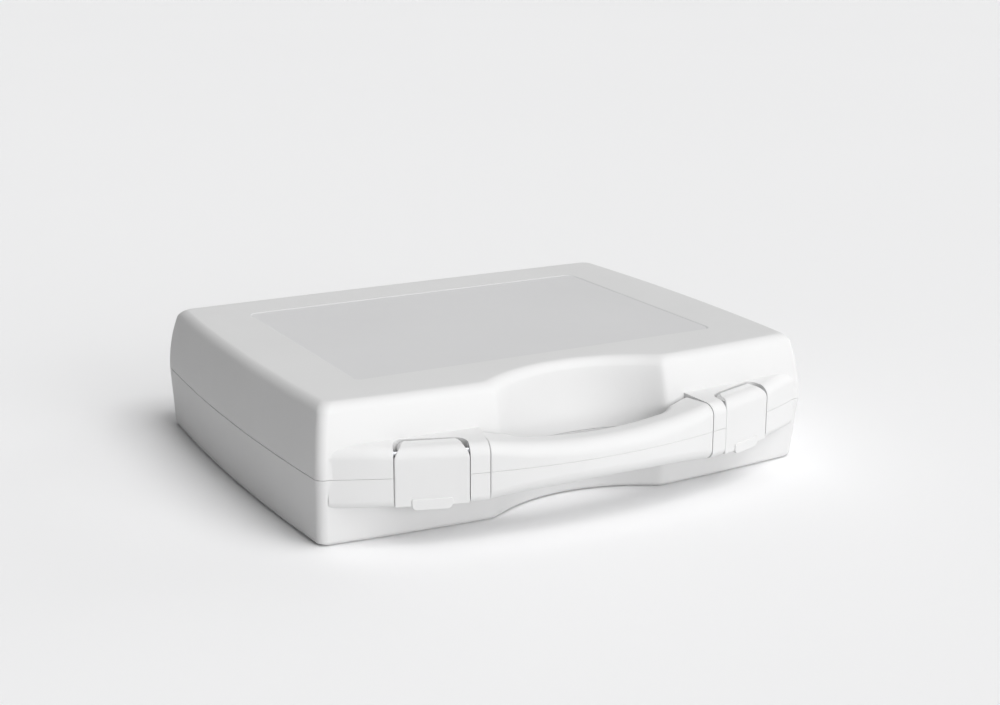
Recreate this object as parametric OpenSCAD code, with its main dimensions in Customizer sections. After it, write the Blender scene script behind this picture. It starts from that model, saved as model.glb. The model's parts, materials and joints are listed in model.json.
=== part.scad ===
// Small hard-plastic instrument case: two drafted shells hinged at the back, two snap
// latches and a fixed bow handle on a bulging front band, and foam inside.
// Millimetres, +X along the hinge line, +Y to the back, +Z up, standing on its base.

/* [Case] */
// Width of the case at the seam
case_w = 274.6; // [268:0.2:288]
// Height of the closed case
case_h = 65.6; // [62:0.2:76]
// Height of the seam between base and lid
seam_z = 32.5; // [31:0.5:35]
// Distance from the case's centre to the middle of the front wall, at the seam
front_reach = 110.8; // [106:0.2:113]
// Distance from the case's centre to the middle of the back wall, at the seam
back_reach = 107; // [102:0.5:110]
// How far the front wall falls back towards its corners
front_bow = 6.6; // [5:0.2:7.4]
// How far the back wall falls in towards its corners
back_bow = 0.8; // [0.6:0.1:2]
// How far the side walls fall in towards their corners
side_bow = 4.6; // [2:0.2:6]
// Radius of the upright corners
corner_r = 5; // [4.5:0.5:8]
// Thickness of the moulded walls
wall = 2.4; // [2:0.1:3]
// Gap left all round between base and lid at the seam
seam_gap = 0.3; // [0.2:0.05:0.5]

/* [Draft and edges] */
// How far the base's side walls taper in towards the floor
base_side_draft = 1.8; // [1:0.2:4]
// How far the base's front wall tapers in towards the floor
base_front_draft = 3.8; // [2:0.2:6]
// How far the base's back wall tapers in towards the floor
base_back_draft = 1.2; // [0.8:0.2:3]
// Rounding of the base's bottom edge
base_edge_r = 2.6; // [1.5:0.1:3]
// How far the lid's side walls curve in towards the top, before the edge
lid_side_draft = 5; // [3:0.2:6]
// How far the lid's front wall curves in towards the top, before the edge
lid_front_draft = 6.4; // [4:0.2:7]
// How far the lid's back wall curves in towards the top, before the edge
lid_back_draft = 8; // [5:0.2:8.4]
// Rounding of the lid's top edge
lid_edge_r = 4.5; // [4:0.5:6]

/* [Label recess] */
// Width of the shallow recess in the lid
label_w = 199.5; // [150:0.5:210]
// Depth of the recess from front to back
label_d = 140; // [100:1:150]
// How deep the recess is sunk
label_sink = 0.5; // [0.3:0.1:0.8]
// Corner radius of the recess
label_r = 5; // [3:0.5:12]

/* [Finger scoop] */
// Half width of the scoop where it meets the front wall
scoop_half_w = 45.8; // [44:0.2:46]
// How far the scoop is cut into the front wall, at the seam
scoop_cut = 14.9; // [12:0.1:15.5]
// How much farther back the scoop reaches at the floor
scoop_lean_down = 4.6; // [3:0.2:6]
// How much farther back the scoop reaches at the top
scoop_lean_up = 7.4; // [5:0.2:9]

/* [Front band] */
// Plan radius of the band's face
band_r = 280; // [275:1:290]
// How far the band's face stands in front of the case's centre
band_reach = 134.3; // [133:0.1:136]
// Height of the band's underside
band_z0 = 18.2; // [17.5:0.1:20]
// Height of the band's ledge
band_z1 = 46; // [45:0.1:47]
// Half width of the whole band
band_half_w = 126; // [122:0.5:128]
// Rounding of the band's lower edge
band_edge_r = 3; // [2:0.5:4]
// Rounding of the band's upper edge, and of the latches' crowns
band_crown_r = 6; // [5:0.5:6]
// How steeply the ledge behind that edge climbs to the lid's wall
ledge_slope = 0.43; // [0.3:0.01:0.5]
// Depth behind the band's face at which the ledge levels out
ledge_d = 12; // [10:0.5:14]

/* [Handle] */
// Half width of the handle
handle_half_w = 60.5; // [58:0.5:61]
// Front-to-back thickness of the grip
handle_depth = 18; // [15:0.5:19]
// Height of the grip in the middle, drop apart
grip_h = 17.8; // [15:0.2:20]
// Height of the handle at its ends, drop apart
handle_end_h = 25.8; // [24:0.2:26]
// How much farther the grip reaches below the seam than above it, in the middle
grip_drop = 2.6; // [1:0.2:3]
// Width of the foot at each end that reaches the case
ear_w = 14; // [11:0.5:14.5]
// Gap between the two handle halves
handle_seam = 0.1; // [0.1:0.05:0.2]

/* [Latches] */
// Distance of each latch's middle from the case's centre line
latch_x = 86; // [85:0.5:87]
// Width of a latch
latch_w = 33.9; // [30:0.1:34]
// Gap at each side of a latch
latch_gap = 0.5; // [0.4:0.1:1]
// Depth of the latch's pivot behind the band's face
latch_pivot_d = 4.4; // [4:0.1:4.6]
// Height of the latch's pivot
latch_pivot_z = 42.6; // [42:0.1:43]
// Radius of the latch's upper corners
latch_corner_r = 7.5; // [6:0.5:9]
// Width of the finger tab
tab_w = 18.5; // [14:0.1:20]
// Height of the tab's lower edge
tab_z = 17; // [16.5:0.1:17.4]
// Radius of the latch pins
latch_pin_r = 1.25; // [1:0.05:1.3]
// Depth of the pocket each latch lies in
pocket_depth = 10.8; // [10.8:0.1:11.2]
// Radius of the pocket's inner corners, seen from above
pocket_r = 5.5; // [4:0.5:6]

/* [Back hinge and feet] */
// Distance of each hinge's middle from the case's centre line
hinge_x = 85; // [75:1:88]
// Length of one hinge's knuckles together
hinge_w = 42; // [36:1:48]
// Radius of the knuckles
knuckle_r = 4; // [3.6:0.1:4]
// Distance of the hinge axis behind the back wall
hinge_out = 4.2; // [4.2:0.1:4.6]
// Radius of the hinge pins
hinge_pin_r = 1.5; // [1.2:0.1:1.8]
// Width of a standing foot
foot_w = 14; // [10:1:16]
// Distance of each foot's middle from the case's centre line
foot_x = 116; // [115:1:117]
// How far the feet stand behind the hinge axis
foot_out = 5; // [4.8:0.1:5]
// Height between the seam and the start of each foot
foot_clear = 7.7; // [7.7:0.1:9]

/* [Foam] */
// Thickness of the foam in the base
base_foam_t = 26; // [22:1:27]
// Thickness of the foam in the lid
lid_foam_t = 10; // [6:1:14]

/* [Hidden] */
$fn = 64;
eps = 0.01;
white = [0.93, 0.93, 0.925];
steel = [0.62, 0.63, 0.65];
foam_grey = [0.24, 0.25, 0.27];

// Fits
pin_fixed = 0.02;
pin_running = 0.06;
lip_gap = 0.35;
lip_t = 1.2;
lip_h = 3;
foam_gap = 0.5;

// Places worked out from the driving sizes
base_top = seam_z - seam_gap / 2;
lid_bottom = seam_z + seam_gap / 2;
band_cy = band_r - band_reach;
band_root = 30;
pocket_half_w = latch_w / 2 + latch_gap;
boss_x = handle_half_w + 0.35;
hinge_y = back_reach + hinge_out;
foot_y = hinge_y + foot_out;
case_y = (band_reach - foot_y) / 2;
ear_gap = 0.35;
bow_span_x = case_w / 2 - 12;
bow_span_y = back_reach;
screw_x = handle_half_w - ear_w / 2;
screw_z = seam_z - 6.5;

// ---- plan outline: four bowed walls and four round corners, all arcs ----

function bow_radius(span, bow) = (span * span + bow * bow) / (2 * bow);

function arc(c, r, a0, a1, n) =
    [for (i = [0:n - 1]) let (a = a0 + (a1 - a0) * i / n) c + r * [cos(a), sin(a)]];

// Where two circles cross, on the given side of the line between their centres
function crossing(c1, r1, c2, r2, side) =
    let (d = c2 - c1, l = norm(d), a = (r1 * r1 - r2 * r2 + l * l) / (2 * l))
    c1 + a * d / l + side * sqrt(r1 * r1 - a * a) * [-d[1], d[0]] / l;

function heading(from, to) = atan2(to[1] - from[1], to[0] - from[0]);

// The right half of the outline, from the front middle round to the back middle
function half_outline(side_in, front_in, back_in, r) =
    let (
        rs = bow_radius(bow_span_y, side_bow),
        rf = bow_radius(bow_span_x, front_bow),
        rb = bow_radius(bow_span_x, back_bow),
        cs = [case_w / 2 - side_in - rs, 0],
        cf = [0, rf - front_reach + front_in],
        cb = [0, back_reach - back_in - rb],
        pf = crossing(cs, rs - r, cf, rf - r, -1),
        pb = crossing(cs, rs - r, cb, rb - r, 1),
        af = heading(cf, pf),
        ab = heading(cb, pb)
    )
    concat(
        arc(cf, rf, -90, af, 6),
        arc(pf, r, af, heading(cs, pf), 5),
        arc(cs, rs, heading(cs, pf), heading(cs, pb), 6),
        arc(pb, r, heading(cs, pb), ab, 5),
        arc(cb, rb, ab, 90, 5),
        [[0, back_reach - back_in]]
    );

function outline(side_in, front_in, back_in, r) =
    let (h = half_outline(side_in, front_in, back_in, r), n = len(h))
    concat(h, [for (i = [n - 2:-1:1]) [-h[i][0], h[i][1]]]);

// The outline moved in by the same amount all round
function inner_outline(in) = outline(in, in, in, inner_corner(in));
function inner_corner(in) = max(1, corner_r - in);

// ---- a closed solid through a stack of rings, each [points, height] ----

module loft(rings) {
    n = len(rings[0][0]);
    m = len(rings);
    points = [for (ring = rings) for (p = ring[0]) [p[0], p[1], ring[1]]];
    sides = [
        for (k = [0:m - 2]) for (i = [0:n - 1])
            let (a = k * n + i, b = k * n + (i + 1) % n)
            each [[a, a + n, b], [b, a + n, b + n]]
    ];
    bottom = [[for (i = [0:n - 1]) i]];
    top = [[for (i = [n - 1:-1:0]) (m - 1) * n + i]];
    polyhedron(points, concat(sides, bottom, top));
}

// ---- how far each shell's wall is inset at a height ----

function round_in(r, rise) = r - sqrt(max(0, r * r - rise * rise));

function base_inset(z, draft, r) = draft * (1 - z / seam_z) + round_in(r, max(0, r - z));

function lid_inset(z, top, draft, r) =
    draft * pow((z - seam_z) / (case_h - seam_z), 2) + round_in(r, max(0, z - (top - r)));

function base_ring(z, thick, floor_z, r) = [
    outline(
        thick + base_inset(z - floor_z, base_side_draft, r),
        thick + base_inset(z - floor_z, base_front_draft, r),
        thick + base_inset(z - floor_z, base_back_draft, r),
        inner_corner(thick)
    ), z];

function lid_ring(z, thick, top, r) = [
    outline(
        thick + lid_inset(z, top, lid_side_draft, r),
        thick + lid_inset(z, top, lid_front_draft, r),
        thick + lid_inset(z, top, lid_back_draft, r),
        inner_corner(thick)
    ), z];

// Heights of a shell's rings: close together round the edge, then the plain wall
function base_levels(floor_z, r, end) =
    concat([for (a = [0:30:90]) floor_z + r * (1 - sin(a))], [end]);
function lid_levels(top, r, start) =
    concat(
        [for (part = [0, 0.12, 0.34, 0.64]) start + part * (top - r - start)],
        [for (a = [0:22.5:90]) top - r * (1 - sin(a))]);

module base_body(thick, floor_z, end) {
    levels = base_levels(floor_z, base_edge_r, end);
    loft([for (i = [3, 2, 1, 0, 4]) base_ring(levels[i], thick, floor_z, base_edge_r)]);
}

module lid_body(thick, top, start) {
    r = lid_edge_r - thick;
    loft([for (z = lid_levels(top, r, start)) lid_ring(z, thick, top, r)]);
}

// How far an outer wall has leaned in at a height
function front_lean(z) =
    z < seam_z ? base_front_draft * (1 - z / seam_z) : lid_front_draft * pow((z - seam_z) / (case_h - seam_z), 2);

// The scoop's own place along Y on the centre line
function scoop_y(z) =
    scoop_cut - front_reach +
    (z < seam_z ? scoop_lean_down * (1 - z / seam_z) : scoop_lean_up * (z - seam_z) / (case_h - seam_z));

// The scoop's plan radius, from its depth and its half width at the wall
function scoop_radius(z) =
    let (d = scoop_y(z) - front_y(scoop_half_w) - front_lean(z))
    (scoop_half_w * scoop_half_w + d * d) / (2 * d);

// The finger scoop, a leaning half cone below the seam and another above it
module scoop(grow) {
    loft([
        for (at = [[0, -1], [seam_z, seam_z], [case_h, case_h + 1]])
            let (r = scoop_radius(at[0]))
            [arc([0, scoop_y(at[0]) - r], r + grow, -1, 181, 61), at[1]]
    ]);
}

// The scoop's plan at the seam
module scoop_plan(grow) {
    r = scoop_radius(seam_z);
    translate([0, scoop_y(seam_z) - r]) circle(r = r + grow, $fn = 160);
}

// ---- front band ----

function band_angle(x) = asin(x / band_r);

// A length of the band between two distances from the centre line
module band_sector(x0, x1, z0, z1, depth, r0, r1) {
    a0 = band_angle(x0);
    translate([0, band_cy, 0])
        rotate(-90 + a0)
            rotate_extrude(angle = band_angle(x1) - a0, $fn = 360)
                band_profile(z0, z1, depth, r0, r1);
}

// Cross-section of the band: its lower and upper front edges rounded where a radius is
// given, and the ledge behind a rounded upper edge climbing towards the wall
module band_profile(z0, z1, depth, r0, r1) {
    polygon(concat(
        [[band_r - depth, z0]],
        r0 > 0 ? arc([band_r - r0, z0 + r0], r0, -90, 0, 6) : [[band_r, z0]],
        r1 > 0 ? arc([band_r - r1, z1 - r1], r1, 0, 90, 8) : [[band_r, z1]],
        r1 > 0 ? [
            [band_r - r1, z1],
            [band_r - ledge_d, z1 + ledge_slope * (ledge_d - r1)],
            [band_r - depth, z1 + ledge_slope * (ledge_d - r1)]
        ] : [[band_r - depth, z1]]
    ));
}

// Puts its children in a latch's own frame: X along the band, Y inwards, Z up
module at_latch(side) {
    translate([0, band_cy, 0])
        rotate(side * band_angle(latch_x))
            translate([0, -band_r, 0]) children();
}

module both_sides() {
    children();
    mirror([1, 0, 0]) children();
}

// Plan of the pocket a latch lies in
module pocket_plan() {
    polygon(concat(
        [[-pocket_half_w, -5], [pocket_half_w, -5]],
        arc([pocket_half_w - pocket_r, pocket_depth - pocket_r], pocket_r, 0, 90, 6),
        arc([pocket_r - pocket_half_w, pocket_depth - pocket_r], pocket_r, 90, 180, 6),
        [[-pocket_half_w, pocket_depth - pocket_r]]
    ));
}

// Bosses beside the handle and the band's outer ends, cut away where the latches sit
module band_blocks(z0, z1, r0, r1) {
    difference() {
        both_sides() band_sector(boss_x, band_half_w, z0, z1, band_root, r0, r1);
        for (side = [-1, 1])
            at_latch(side)
                translate([0, 0, z0 - 1]) linear_extrude(case_h - z0) pocket_plan();
    }
}

// ---- back hinge ----

module knuckle(x0, x1, up) {
    translate([x0, hinge_y, seam_z])
        rotate([0, 90, 0])
            cylinder(h = x1 - x0, r = knuckle_r);
    translate([x0, back_reach - 4.2, up > 0 ? lid_bottom : base_top - 8])
        cube([x1 - x0, hinge_out + 4.2, 8]);
}

// Knuckle bounds along X: two outer ones on the base and a middle one on the lid
module base_knuckles() {
    w = hinge_w * 0.24;
    for (x = [hinge_x - hinge_w / 2, hinge_x + hinge_w / 2 - w]) knuckle(x, x + w, -1);
}

module lid_knuckles() {
    w = hinge_w * 0.24 + 0.3;
    knuckle(hinge_x - hinge_w / 2 + w, hinge_x + hinge_w / 2 - w, 1);
}

module hinge_bore(r) {
    translate([hinge_x - hinge_w / 2 - 1, hinge_y, seam_z])
        rotate([0, 90, 0])
            cylinder(h = hinge_w + 2, r = r);
}

// A standing foot on the back wall, with its outer end rounded
module foot(z0, z1) {
    translate([foot_x - foot_w / 2, back_reach - 6, z0])
        cube([foot_w, foot_y - back_reach + 4, z1 - z0]);
    for (x = [foot_x - foot_w / 2 + 2, foot_x + foot_w / 2 - 2])
        translate([x, foot_y - 2, z0]) cylinder(h = z1 - z0, r = 2);
    translate([foot_x - foot_w / 2 + 2, foot_y - 4, z0])
        cube([foot_w - 4, 4, z1 - z0]);
}

// ---- base ----

// A flat ring that follows the inner wall, scoop included; lean moves it off the scoop
module rim_ring(in0, in1, lean) {
    difference() {
        polygon(inner_outline(in0));
        scoop_plan(in0 + lean);
        difference() {
            polygon(inner_outline(in1));
            scoop_plan(in1 + lean);
        }
    }
}

module rim_lip() {
    outer = wall + lip_gap;
    inner = outer + lip_t;
    lean = lip_h * scoop_lean_up / (case_h - seam_z);
    difference() {
        union() {
            translate([0, 0, base_top - 3]) linear_extrude(3) rim_ring(wall - 0.3, inner, 0);
            translate([0, 0, base_top - eps]) linear_extrude(lip_h + eps) rim_ring(outer, inner, lean);
        }
        translate([-case_w, back_reach - 20, 0]) cube([2 * case_w, 40, case_h]);
    }
}

module catch_rib() {
    translate([-10, pocket_depth - 2.8, seam_z - 5.5]) cube([20, 4, 3]);
}

module base_shell() {
    color(white)
    difference() {
        union() {
            difference() {
                base_body(0, 0, base_top);
                scoop(0);
            }
            band_blocks(band_z0, base_top, band_edge_r, 0);
            both_sides() {
                base_knuckles();
                foot(seam_z - foot_clear - 16, seam_z - foot_clear);
            }
        }
        difference() {
            base_body(wall, wall, base_top + 1);
            scoop(wall);
        }
        both_sides() {
            hinge_bore(hinge_pin_r + pin_fixed);
            handle_screw_bore(1.7);
        }
    }
    color(white) rim_lip();
    color(white) for (side = [-1, 1]) at_latch(side) catch_rib();
}

// ---- lid ----

// A plate with round corners, centred
module round_plate(w, d, r, h) {
    linear_extrude(h) {
        square([w - 2 * r, d], center = true);
        square([w, d - 2 * r], center = true);
        for (x = [-1, 1])
            for (y = [-1, 1])
                translate([x * (w / 2 - r), y * (d / 2 - r)]) circle(r = r);
    }
}

module lid_shell() {
    color(white)
    difference() {
        union() {
            difference() {
                lid_body(0, case_h, lid_bottom);
                scoop(0);
            }
            band_blocks(lid_bottom, band_z1, 0, band_crown_r);
            both_sides() {
                lid_knuckles();
                foot(seam_z + foot_clear, seam_z + foot_clear + 16);
            }
        }
        difference() {
            lid_body(wall, case_h - wall, lid_bottom - 1);
            scoop(wall);
        }
        translate([0, 0, case_h - label_sink]) round_plate(label_w, label_d, label_r, 2);
        both_sides() hinge_bore(hinge_pin_r + pin_fixed);
        for (side = [-1, 1]) at_latch(side) latch_axis(pocket_half_w + 3, latch_pin_r + pin_fixed);
    }
}

// ---- latches ----

module latch_axis(half_l, r) {
    translate([-half_l, latch_pivot_d, latch_pivot_z])
        rotate([0, 90, 0])
            cylinder(h = 2 * half_l, r = r);
}

// The latch's outline seen from the front, with its upper corners rounded away
module latch_outline() {
    w = latch_w / 2;
    top = band_z1 + 1.5;
    r = latch_corner_r;
    polygon(concat(
        [[-w, band_z0 + 0.4], [w, band_z0 + 0.4]],
        arc([w - r, top - r], r, 0, 90, 8),
        arc([r - w, top - r], r, 90, 180, 8),
        [[-w, top - r]]
    ));
}

// Side view of the latch down to a height: a crown like the band's and a sloping back
module latch_side(half_l, z0, thick) {
    r = band_crown_r;
    back = 8.3;
    translate([-half_l, 0, 0])
        rotate([90, 0, 90])
            linear_extrude(2 * half_l)
                difference() {
                    polygon(concat(
                        [[back, z0], [back, band_z1 + ledge_slope * (back - r)]],
                        arc([r, band_z1 - r], r, 90, 180, 8),
                        [[0, band_z1 - r], [0, z0]]
                    ));
                    if (thick > 0)
                        polygon(concat(
                            [[back + 1, z0 - 1], [back + 1, band_z1 - thick]],
                            arc([r, band_z1 - r], r - thick, 90, 180, 6),
                            [[thick, band_z1 - r], [thick, z0 - 1]]
                        ));
                }
}

// The finger tab, a plate with round lower corners hanging below the band
module latch_tab() {
    w = tab_w / 2;
    r = 2.5;
    translate([0, 2.4, 0])
        rotate([90, 0, 0])
            linear_extrude(2.6)
                polygon(concat(
                    [[w, tab_z + 6], [-w, tab_z + 6]],
                    arc([r - w, tab_z + r], r, 180, 270, 5),
                    arc([w - r, tab_z + r], r, 270, 360, 5),
                    [[w, tab_z + r]]
                ));
}

module latch() {
    w = latch_w / 2;
    difference() {
        union() {
            intersection() {
                translate([0, 12, 0]) rotate([90, 0, 0]) linear_extrude(14) latch_outline();
                union() {
                    latch_side(w, band_z0, 2.4);
                    latch_side(15, band_z1 - 7.5, 0);
                    for (x = [-w, w - 1.8])
                        translate([x, 0, band_z0 + 2]) cube([1.8, 6, band_z1 - band_z0 - 10]);
                }
            }
            translate([-9, 2, seam_z - 8.8]) cube([18, pocket_depth - 5.2, 3.2]);
            latch_tab();
        }
        latch_axis(w + 1, latch_pin_r + pin_running);
    }
}

module latch_left() { color(white) at_latch(-1) latch(); }
module latch_right() { color(white) at_latch(1) latch(); }
module latch_pin_left() { color(steel) at_latch(-1) latch_axis(pocket_half_w + 2.8, latch_pin_r); }
module latch_pin_right() { color(steel) at_latch(1) latch_axis(pocket_half_w + 2.8, latch_pin_r); }

// ---- handle ----

// Height of the handle at a distance from its middle
function handle_h(x) = grip_h + (handle_end_h - grip_h) * pow(abs(x) / handle_half_w, 2);

// Front-to-back size: the grip's own, or all the way to the wall at each end
function front_y(x) = -front_reach + front_bow * pow(x / bow_span_x, 2);
function ear_depth(x) = band_r - norm([x, band_cy - front_y(x)]) - ear_gap;
function handle_d(x) =
    abs(x) > handle_half_w - ear_w ? ear_depth(abs(x) * (band_r - handle_depth) / band_r) : handle_depth;

// One cross-section of the handle, its corners rounded, placed across the band's arc
function handle_section(x, r) =
    let (
        a = band_angle(x),
        h = handle_h(x) / 2,
        low = h + grip_drop * (1 - pow(x / handle_half_w, 2) / 2),
        d = handle_d(x),
        s = concat(
            arc([r, r - low], r, 180, 270, 4),
            arc([d - r, r - low], r, 270, 360, 4),
            arc([d - r, h - r], r, 0, 90, 4),
            arc([r, h - r], r, 90, 180, 4)
        )
    )
    [for (p = s) [
        (band_r - p[0]) * sin(a),
        band_cy - (band_r - p[0]) * cos(a),
        seam_z + p[1]]];

// Distances from the middle at which the handle's cross-sections stand
function handle_stations() =
    let (inner = handle_half_w - ear_w)
    concat([handle_half_w, handle_half_w - ear_w / 2, inner + 0.5], [for (i = [6:-1:1]) (inner - 1) * i / 6]);

// The whole handle as one skin through its cross-sections
module handle_body() {
    half = handle_stations();
    stations = concat(-half, [0], [for (i = [len(half) - 1:-1:0]) half[i]]);
    sections = [for (x = stations) handle_section(x, 5)];
    n = len(sections[0]);
    m = len(sections);
    polyhedron(
        [for (s = sections) for (p = s) p],
        concat(
            [for (k = [0:m - 2]) for (i = [0:n - 1])
                let (a = k * n + i, b = k * n + (i + 1) % n)
                each [[a, b, a + n], [b, b + n, a + n]]],
            [[for (i = [n - 1:-1:0]) i]],
            [[for (i = [0:n - 1]) (m - 1) * n + i]]
        ));
}

module handle_screw_bore(r) {
    translate([screw_x, -front_reach - 8, screw_z])
        rotate([-90, 0, 0])
            cylinder(h = 30, r = r);
}

module joining_axis(r, z0, z1) {
    translate([screw_x - ear_w - 8, band_cy - (band_r - handle_depth / 2) *
        cos(band_angle(screw_x - ear_w - 8)), z0])
        cylinder(h = z1 - z0, r = r);
}

module handle_solid() {
    difference() {
        handle_body();
        both_sides() {
            handle_screw_bore(1.5 + pin_fixed);
            joining_axis(1.4 + pin_fixed, 0, seam_z + 5.02);
            joining_axis(3, 0, seam_z - 6.5);
        }
    }
}

module handle_upper_shell() {
    color(white)
    intersection() {
        handle_solid();
        translate([-100, -200, seam_z + handle_seam / 2]) cube([200, 200, 40]);
    }
}

module handle_lower_shell() {
    color(white)
    intersection() {
        handle_solid();
        translate([-100, -200, seam_z - handle_seam / 2 - 40]) cube([200, 200, 40]);
    }
}

module handle_joining_screws() {
    color(steel)
    both_sides()
        difference() {
            union() {
                joining_axis(1.4, seam_z - 6.5, seam_z + 5);
                joining_axis(2.7, seam_z - 8.2, seam_z - 6.5);
            }
            joining_axis(1, seam_z - 9, seam_z - 7.4);
        }
}

module handle_mounting_screws() {
    head_y = front_y(screw_x) + base_front_draft * (1 - screw_z / seam_z) + wall + 1;
    color(steel)
    both_sides()
        translate([screw_x, head_y, screw_z])
            rotate([90, 0, 0])
                difference() {
                    union() {
                        cylinder(h = 13, r = 1.5);
                        translate([0, 0, -1.8]) cylinder(h = 1.8, r = 2.9);
                    }
                    translate([0, 0, -2]) cylinder(h = 1, r = 1);
                }
}

// ---- hinge pins ----

module hinge_pin() {
    translate([hinge_x - hinge_w / 2, hinge_y, seam_z])
        rotate([0, 90, 0])
            cylinder(h = hinge_w, r = hinge_pin_r);
}

module hinge_pin_left() { color(steel) mirror([1, 0, 0]) hinge_pin(); }
module hinge_pin_right() { color(steel) hinge_pin(); }

// ---- foam ----

module foam_pocket(x, y, w, d, r) {
    translate([x, y, wall + 6]) round_plate(w, d, r, case_h);
}

module base_foam() {
    in = wall + foam_gap;
    top = in + base_foam_t;
    screw_room = 3;
    edge_room = 1.2;
    color(foam_grey)
    difference() {
        loft([
            [outline(
                in + base_side_draft + edge_room,
                in + base_front_draft + screw_room,
                in + base_back_draft + edge_room,
                inner_corner(in)), in],
            [outline(in + edge_room, in + 1 + screw_room, in + edge_room, inner_corner(in)), top]
        ]);
        scoop(in + 2);
        foam_pocket(-66, 4, 96, 140, 10);
        translate([52, 34, wall + 8]) cylinder(h = case_h, r = 38);
        foam_pocket(84, -48, 52, 58, 16);
        foam_pocket(22, -48, 40, 58, 14);
        translate([47, -22, wall + 14]) round_plate(14, 60, 6, case_h);
    }
}

module lid_foam() {
    in = wall + foam_gap;
    top = case_h - in;
    r = lid_edge_r - wall;
    color(foam_grey)
    difference() {
        loft([for (z = [top - lid_foam_t, top]) lid_ring(z, in + 0.4, case_h - wall, r)]);
        scoop(in + 2);
    }
}

// ---- the whole case, moved so that the middle of its box stands over the origin ----

module placed() { translate([0, case_y, 0]) children(); }

placed() base_shell();
placed() lid_shell();
placed() handle_upper_shell();
placed() handle_lower_shell();
placed() handle_joining_screws();
placed() handle_mounting_screws();
placed() latch_left();
placed() latch_right();
placed() latch_pin_left();
placed() latch_pin_right();
placed() hinge_pin_left();
placed() hinge_pin_right();
placed() base_foam();
placed() lid_foam();
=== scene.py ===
"""A small white hard-plastic carrying case, lying closed on a pale studio floor."""
import json
import math

import bmesh
import bpy
import numpy as np
from mathutils import Matrix, Vector


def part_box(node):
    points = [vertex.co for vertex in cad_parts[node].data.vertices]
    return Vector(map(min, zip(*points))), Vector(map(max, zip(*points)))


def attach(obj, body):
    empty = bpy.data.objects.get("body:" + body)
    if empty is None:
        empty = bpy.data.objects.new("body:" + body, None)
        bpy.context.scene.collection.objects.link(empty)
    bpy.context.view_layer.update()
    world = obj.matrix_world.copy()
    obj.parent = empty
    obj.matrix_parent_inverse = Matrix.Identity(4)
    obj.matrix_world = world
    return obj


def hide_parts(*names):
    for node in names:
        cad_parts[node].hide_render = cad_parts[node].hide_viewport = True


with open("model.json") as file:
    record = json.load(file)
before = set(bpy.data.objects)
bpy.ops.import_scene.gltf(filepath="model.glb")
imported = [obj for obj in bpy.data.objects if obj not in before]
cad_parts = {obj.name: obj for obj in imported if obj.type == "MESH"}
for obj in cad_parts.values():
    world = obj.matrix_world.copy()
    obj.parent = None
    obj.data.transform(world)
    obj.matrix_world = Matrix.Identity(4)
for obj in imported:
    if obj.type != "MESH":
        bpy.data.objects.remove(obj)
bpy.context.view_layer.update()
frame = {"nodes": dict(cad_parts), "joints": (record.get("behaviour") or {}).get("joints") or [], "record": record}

MM = 0.001


# ---------------------------------------------------------------- sizes, in millimetres


def in_mm(box):
    return [[v / MM for v in corner] for corner in box]


def mount_place(name):
    return next(m["pos_m"] for m in frame["record"]["mounts"] if m["name"] == name)


def joint_place(name):
    return next(j["pos_m"] for j in frame["joints"] if j["name"] == name)


# The body frame has its origin under the case's own centre, behind the middle of the box
CASE_Y = mount_place("base_bottom")[1] / MM
LID_LOW, LID_HIGH = in_mm(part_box("lid_shell"))
CASE_W = LID_HIGH[0] - LID_LOW[0]
CASE_H = LID_HIGH[2]
HINGE_Y = joint_place("lid_hinge")[1] / MM - CASE_Y
SEAM_Z = joint_place("lid_hinge")[2] / MM
BAND_REACH = CASE_Y - in_mm(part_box("handle_upper_shell"))[0][1]
HINGE_STANDOFF, BAND_STANDOFF = 4.2, 23.5
BACK_REACH = HINGE_Y - HINGE_STANDOFF
FRONT_REACH = BAND_REACH - BAND_STANDOFF
WALL = 2.4

CORNER_R = 5
FRONT_BOW, BACK_BOW, SIDE_BOW = 6.6, 0.8, 4.6
SPAN_X, SPAN_Y = CASE_W / 2 - 12, BACK_REACH
# How far the side, front and back walls lean in over each shell's height
BASE_DRAFT, BASE_EDGE_R = np.array([1.8, 3.8, 1.2]), 2.6
LID_DRAFT, LID_EDGE_R = np.array([5.0, 6.4, 8.0]), 4.5
SEAM_GAP, SEAM_EDGE = 0.14, 0.2

SCOOP_HALF_W, SCOOP_CUT = 45.8, 14.9
SCOOP_DOWN, SCOOP_UP, SCOOP_EDGE_R, SCOOP_SOFT = 4.6, 7.4, 5.5, 1.2

LABEL_W, LABEL_D, LABEL_R, LABEL_SINK = 199.5, 140, 5, 0.3

BAND_R = 280
BAND_CY = BAND_R - BAND_REACH
BAND_Z0, BAND_Z1 = 18.2, 46.0
BAND_LOW_R, CROWN_R, LEDGE_Z, BAND_EDGE_R = 4.0, 6.0, 47.5, 0.28
BAND_HALF_W = 128.2
# The crown climbs towards the band's outer ends, from this place on and over this run
CLIMB_X, CLIMB_RUN, CLIMB = 97, 18, 1.3
HANDLE_HALF_W, HANDLE_GAP = 60.5, 0.25
GRIP_DEPTH, GRIP_H, GRIP_DROP, HANDLE_END_H, EAR_W, EAR_GAP = 18, 17.8, 2.6, 25.8, 14, 0.35
HANDLE_SEAM = 0.06
# The grip's edge radius, and how the rear one sharpens on the way to the ears
GRIP_EDGE_R, REAR_TURN_X, REAR_TURN_RUN, REAR_TURN = 7.0, 40, 18, 5.5

LATCH_X, LATCH_W, LATCH_GAP = 86, 33.9, 0.28
LATCH_CORNER_R, LATCH_T, LATCH_BACK, LATCH_SLOPE = 7.5, 2.4, 9.0, 0.35
POCKET_DEPTH, POCKET_R = 10.8, 5.5
TAB_W, TAB_Z, TAB_PROUD = 18.5, 17.1, 0.2

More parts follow.
